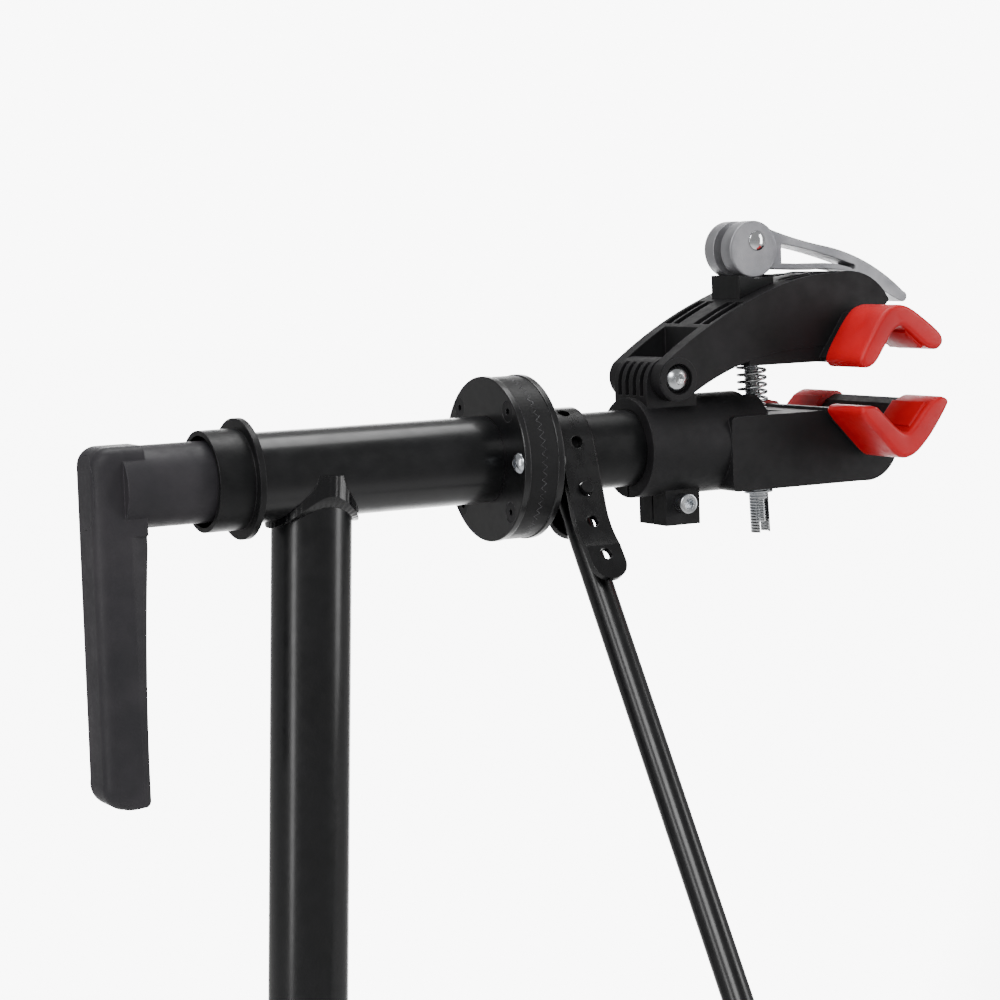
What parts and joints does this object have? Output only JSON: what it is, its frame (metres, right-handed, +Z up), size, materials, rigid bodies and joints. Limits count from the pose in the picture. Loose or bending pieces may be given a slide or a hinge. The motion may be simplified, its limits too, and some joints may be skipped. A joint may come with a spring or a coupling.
{
  "type": "bicycle repair stand",
  "caption": "Free-standing bicycle repair stand: folding beam base, height-adjustable mast, crank-locked turning arm, quick-release V jaws with soft caps and a strapped stabiliser rod.",
  "frame": {"origin": "on the floor, on the mast axis", "axes": "+Z up the mast; +X along the clamp arm toward the jaws; -Y is the side the cam lever's pin head faces"},
  "size_m": [0.8904, 0.6482, 1.2233],
  "materials": {
    "powder_black": "satin powder coat",
    "gloss_black": "semi-gloss black paint",
    "ring_black": "satin black",
    "bright_steel": "bright zinc plate",
    "cam_pin_steel": "bright steel",
    "black_oxide": "black oxide",
    "nylon_white": "turned nylon",
    "moulded_black": "fine spark-eroded texture",
    "handle_grey": "fine matt texture",
    "rubber_black": "matt rubber",
    "strap_rubber": "smooth semi-gloss rubber",
    "soft_red": "soft satin elastomer",
    "cast_silver": "fine blasted die casting, clear coat",
    "inner_rod_steel": "bright zinc plate"
  },
  "bodies": {
    "stand_base": {"fixed_beam": "powder_black", "fixed_beam_feet": "rubber_black", "fixed_beam_plugs": "moulded_black", "mast_foot_plate": "powder_black", "mast_foot_bolts": "bright_steel", "beam_pivot_washer": "nylon_white", "beam_pivot_bolt": "bright_steel", "lower_mast_tube": "powder_black", "height_bushing": "nylon_white", "height_collar": "moulded_black", "height_clamp_bolt": "bright_steel", "height_lever_pin": "bright_steel"},
    "swing_leg": {"swing_beam": "powder_black", "swing_beam_feet": "rubber_black", "swing_beam_plugs": "moulded_black"},
    "height_lever": {"height_lever": "cast_silver"},
    "mast": {"mast_tube": "gloss_black", "mast_weld": "gloss_black", "head_tube": "gloss_black", "head_end_bush": "moulded_black", "mast_flange_plate": "gloss_black", "mast_tooth_ring": "ring_black", "mast_flange_sunk_screws": "black_oxide", "mast_flange_button_screws": "bright_steel", "draw_rod_guide": "nylon_white", "handle_thrust_washer": "nylon_white"},
    "crank": {"crank_handle": "handle_grey", "handle_nut": "bright_steel", "handle_end_cap": "handle_grey"},
    "draw_rod": {"draw_rod": "bright_steel"},
    "clamp_head": {"clamp_thrust_washer": "nylon_white", "clamp_flange_plate": "gloss_black", "clamp_tooth_ring": "ring_black", "clamp_flange_sunk_screws": "black_oxide", "clamp_flange_button_screws": "bright_steel", "clamp_tube": "gloss_black", "lower_jaw": "moulded_black", "lower_cap_front": "soft_red", "lower_cap_rear": "soft_red", "jaw_hinge_bolt": "bright_steel", "pinch_screw": "bright_steel", "jaw_nuts": "bright_steel"},
    "upper_jaw": {"upper_jaw": "moulded_black", "cam_saddle": "moulded_black", "upper_cap_front": "soft_red", "upper_cap_rear": "soft_red"},
    "stud_swivel": {"stud_sleeve_nut": "bright_steel", "stud_washer": "bright_steel", "jaw_spring": "bright_steel"},
    "stud": {"clamp_stud": "bright_steel"},
    "cam_lever": {"cam_lever": "cast_silver", "cam_pin": "cam_pin_steel"},
    "stabiliser_rod": {"stabiliser_rod": "gloss_black", "rod_top_plug": "moulded_black", "rod_strap": "strap_rubber", "rod_lock_sleeve": "moulded_black"},
    "inner_rod": {"inner_rod": "inner_rod_steel", "rod_end_cap": "moulded_black"}
  },
  "joints": [
    {"name": "leg_fold", "type": "hinge", "parent": "stand_base", "child": "swing_leg", "pos_m": [0, 0, 0.027], "axis": [0, 0, 1], "range_deg": [0, 70]},
    {"name": "mast_height", "type": "slide", "parent": "stand_base", "child": "mast", "axis": [0, 0, 1], "range_m": [-0.2, 0.18]},
    {"name": "height_lever_swing", "type": "hinge", "parent": "stand_base", "child": "height_lever", "pos_m": [0.0175, -0.038, 0.622], "axis": [0, 0, -1], "range_deg": [0, 120]},
    {"name": "crank_turn", "type": "hinge", "parent": "mast", "child": "crank", "pos_m": [-0.09986, 0, 1.09477], "axis": [0.9986, 0, 0.0523], "range_deg": [0, 650]},
    {"name": "draw_rod_slide", "type": "slide", "parent": "mast", "child": "draw_rod", "axis": [0.9986, 0, 0.0523], "range_m": [0, 0.00316]},
    {"name": "arm_rotation", "type": "hinge", "parent": "draw_rod", "child": "clamp_head", "pos_m": [0.10186, 0, 1.10534], "axis": [0.9986, 0, 0.0523], "continuous": true},
    {"name": "jaw_open", "type": "hinge", "parent": "clamp_head", "child": "upper_jaw", "pos_m": [0.18736, 0, 1.14397], "axis": [0, -1, 0], "range_deg": [-6, 11.5]},
    {"name": "stud_tilt", "type": "hinge", "parent": "clamp_head", "child": "stud_swivel", "pos_m": [0.25222, 0, 1.08718], "axis": [0, -1, 0], "range_deg": [-3.04, 5.82]},
    {"name": "stud_lift", "type": "slide", "parent": "stud_swivel", "child": "stud", "axis": [-0.0933, 0, 0.9956], "range_m": [-0.00609, 0.01168], "deforming": ["jaw_spring"]},
    {"name": "cam_lever_flip", "type": "hinge", "parent": "upper_jaw", "child": "cam_lever", "pos_m": [0.2404, 0, 1.21324], "axis": [0, -1, 0], "range_deg": [0, 150]},
    {"name": "rod_swing", "type": "hinge", "parent": "clamp_head", "child": "stabiliser_rod", "pos_m": [0.13132, 0, 1.10688], "axis": [0.9986, 0, 0.0523], "range_deg": [-120, 180]},
    {"name": "rod_extend", "type": "slide", "parent": "stabiliser_rod", "child": "inner_rod", "axis": [0.0444, -0.5284, -0.8478], "range_m": [0, 0.22]}
  ],
  "couplings": [
    {"joint": "draw_rod_slide", "follows": "crank_turn", "m_per_rad": 0.00027855},
    {"joint": "stud_tilt", "follows": "jaw_open", "ratio": 0.506},
    {"joint": "stud_lift", "follows": "jaw_open", "m_per_rad": 0.0582}
  ]
}
